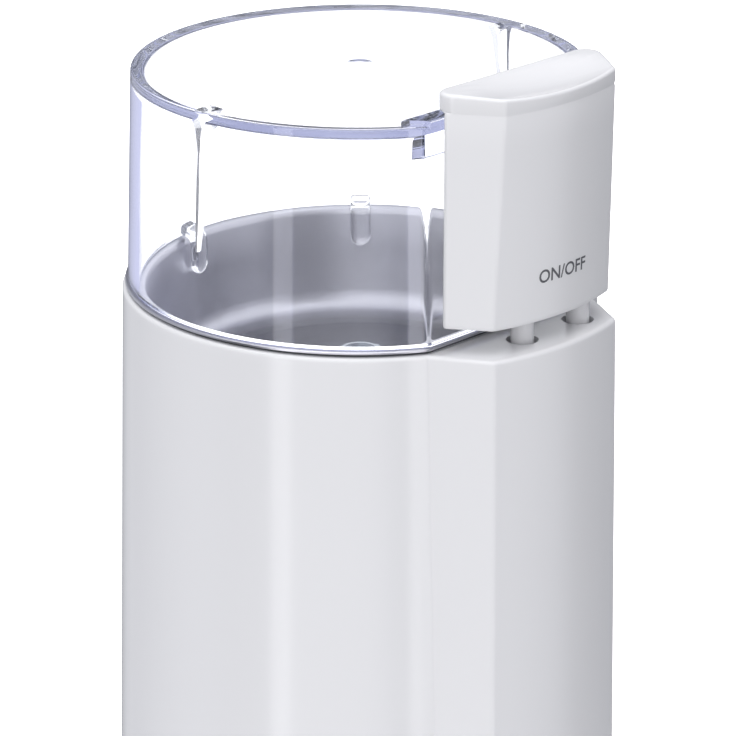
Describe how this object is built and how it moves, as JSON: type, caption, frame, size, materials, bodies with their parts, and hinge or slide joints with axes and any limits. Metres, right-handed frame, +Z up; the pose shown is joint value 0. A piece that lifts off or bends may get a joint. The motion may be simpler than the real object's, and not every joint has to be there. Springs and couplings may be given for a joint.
{
  "type": "electric spice grinder",
  "caption": "Upright electric spice grinder: round body with a front switch bay, steel bowl with spinning blade, clear D-shaped lid and a tall push button beside it.",
  "frame": {"origin": "on the table, under the middle of the bounding box", "axes": "+Z up; the push button faces -Y and the cord inlet faces +Y; the motor axis is vertical, 3.05 mm behind the origin"},
  "size_m": [0.0934, 0.0996, 0.1794],
  "materials": {
    "white_abs": "glossy white ABS moulding",
    "base_pp": "white polypropylene, fine matt",
    "clear_san": "clear SAN, polished mould",
    "inner_nylon": "natural nylon",
    "black_plastic": "black phenolic moulding",
    "ivory_plastic": "ivory polyamide",
    "red_plastic": "red acetal",
    "rubber_grey": "moulded rubber, matt",
    "bowl_steel": "drawn stainless steel, fine brushed",
    "blade_steel": "ground stainless steel",
    "zinc_steel": "zinc-plated steel",
    "spring_steel": "drawn spring wire",
    "shaft_steel": "ground carbon steel",
    "lamination_steel": "varnished electrical steel",
    "bronze": "sintered bronze",
    "copper_wire": "enamelled copper wire, varnished",
    "commutator_copper": "turned copper bars",
    "carbon": "pressed carbon",
    "brass_tab": "stamped brass",
    "phenolic_brown": "brown phenolic moulding",
    "capacitor_yellow": "yellow plastic case"
  },
  "bodies": {
    "housing": {"housing": "white_abs", "base_plate": "base_pp", "base_screws": "zinc_steel", "rubber_feet": "rubber_grey", "cord_inlet_bush": "black_plastic", "grinding_bowl": "bowl_steel", "bowl_seal": "rubber_grey", "bowl_collar": "inner_nylon", "shaft_seal": "rubber_grey", "return_springs": "spring_steel", "button_guide": "inner_nylon", "guide_screws": "zinc_steel", "switch_body": "black_plastic", "switch_terminals": "brass_tab", "switch_screws": "zinc_steel", "motor_carrier": "inner_nylon", "carrier_screws": "zinc_steel", "rubber_mounts": "rubber_grey", "mount_screws": "zinc_steel", "upper_bracket": "zinc_steel", "lower_bracket": "zinc_steel", "upper_bush": "bronze", "lower_bush": "bronze", "through_bolts": "zinc_steel", "stator_stack": "lamination_steel", "coil_bobbins": "ivory_plastic", "field_coils": "copper_wire", "brush_holders": "phenolic_brown", "carbon_brushes": "carbon", "brush_springs": "spring_steel", "terminal_block": "ivory_plastic", "suppression_capacitor": "capacitor_yellow"},
    "lid": {"lid": "clear_san"},
    "button": {"button": "white_abs", "leg_retainers": "spring_steel"},
    "rotor": {"shaft": "shaft_steel", "armature_core": "lamination_steel", "armature_windings": "copper_wire", "commutator": "commutator_copper", "thrust_washers": "ivory_plastic", "blade_hub": "black_plastic", "blade": "blade_steel", "blade_nut": "zinc_steel"},
    "switch_lever": {"switch_lever": "zinc_steel"},
    "switch_plunger": {"switch_plunger": "red_plastic"}
  },
  "joints": [
    {"name": "lid_lift", "type": "slide", "parent": "housing", "child": "lid", "axis": [0, 0, 1], "range_m": [0, 0.06]},
    {"name": "button_press", "type": "slide", "parent": "housing", "child": "button", "axis": [0, 0, -1], "range_m": [0, 0.004], "stiffness_N_per_m": 1200, "springref_m": -0.002, "deforming": ["return_springs"]},
    {"name": "rotor_spin", "type": "hinge", "parent": "housing", "child": "rotor", "pos_m": [0, 0.00305, 0.1153], "axis": [0, 0, 1], "continuous": true},
    {"name": "lever_swing", "type": "hinge", "parent": "housing", "child": "switch_lever", "pos_m": [0.0085, -0.04095, 0.1013], "axis": [0, -1, 0], "range_deg": [0, 16.15]},
    {"name": "plunger_slide", "type": "slide", "parent": "housing", "child": "switch_plunger", "axis": [0, 0, -1], "range_m": [0, 0.00185]}
  ],
  "couplings": [
    {"joint": "lever_swing", "follows": "button_press", "rad_per_m": 70.024},
    {"joint": "plunger_slide", "follows": "button_press", "ratio": 0.4586}
  ]
}
